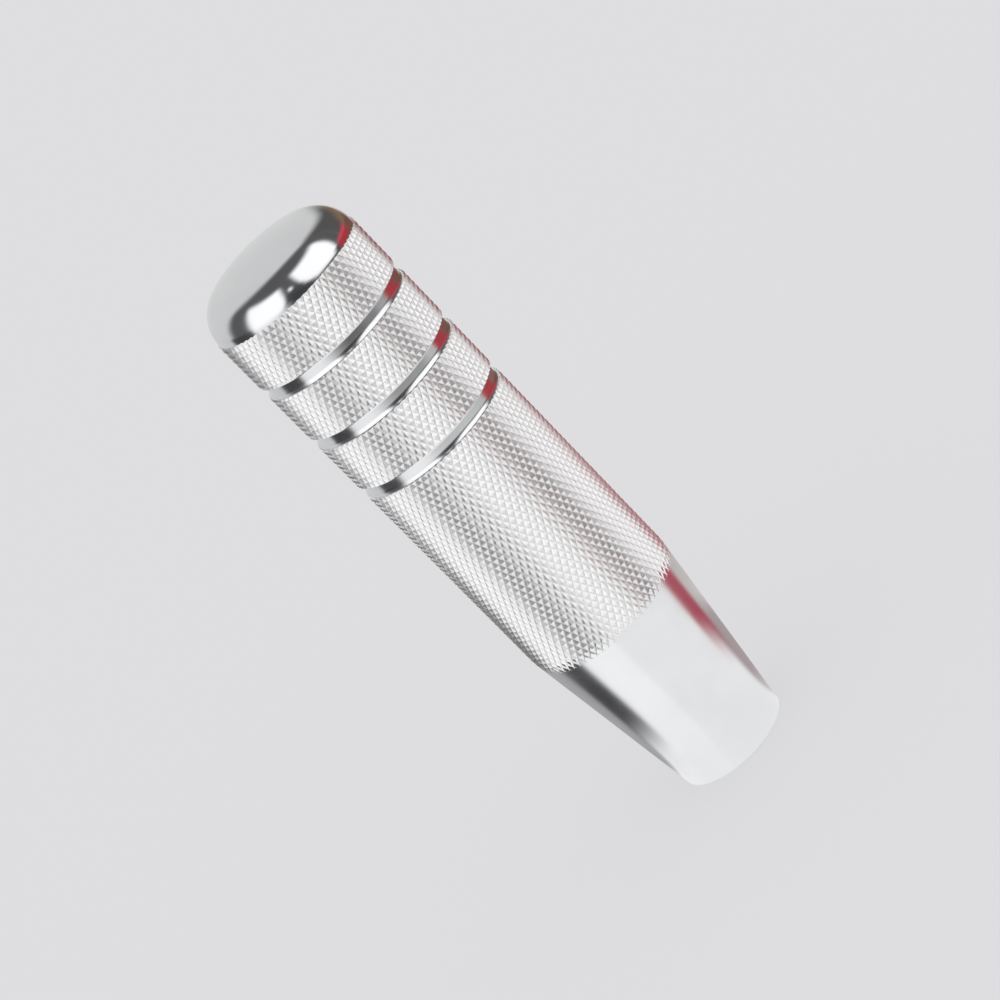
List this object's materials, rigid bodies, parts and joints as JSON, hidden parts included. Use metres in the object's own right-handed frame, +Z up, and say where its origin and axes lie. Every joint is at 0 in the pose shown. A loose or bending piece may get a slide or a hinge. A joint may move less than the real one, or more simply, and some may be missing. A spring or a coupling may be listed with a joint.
{
  "type": "gear shift knob",
  "caption": "Long turned aluminium gear lever knob with a domed head, knurled bands between grooves and a tapered skirt, bored from the base for a threaded lever.",
  "frame": {"origin": "centre of the base's rim, on the knob's axis", "axes": "+Z up the knob's axis towards the head; X and Y are free, because the knob is turned"},
  "size_m": [0.032, 0.032, 0.128],
  "materials": {
    "turned_aluminium": "polished",
    "adapter_aluminium": "as turned"
  },
  "bodies": {
    "root": {"knob_body": "turned_aluminium", "thread_adapter": "adapter_aluminium"}
  },
  "joints": []
}
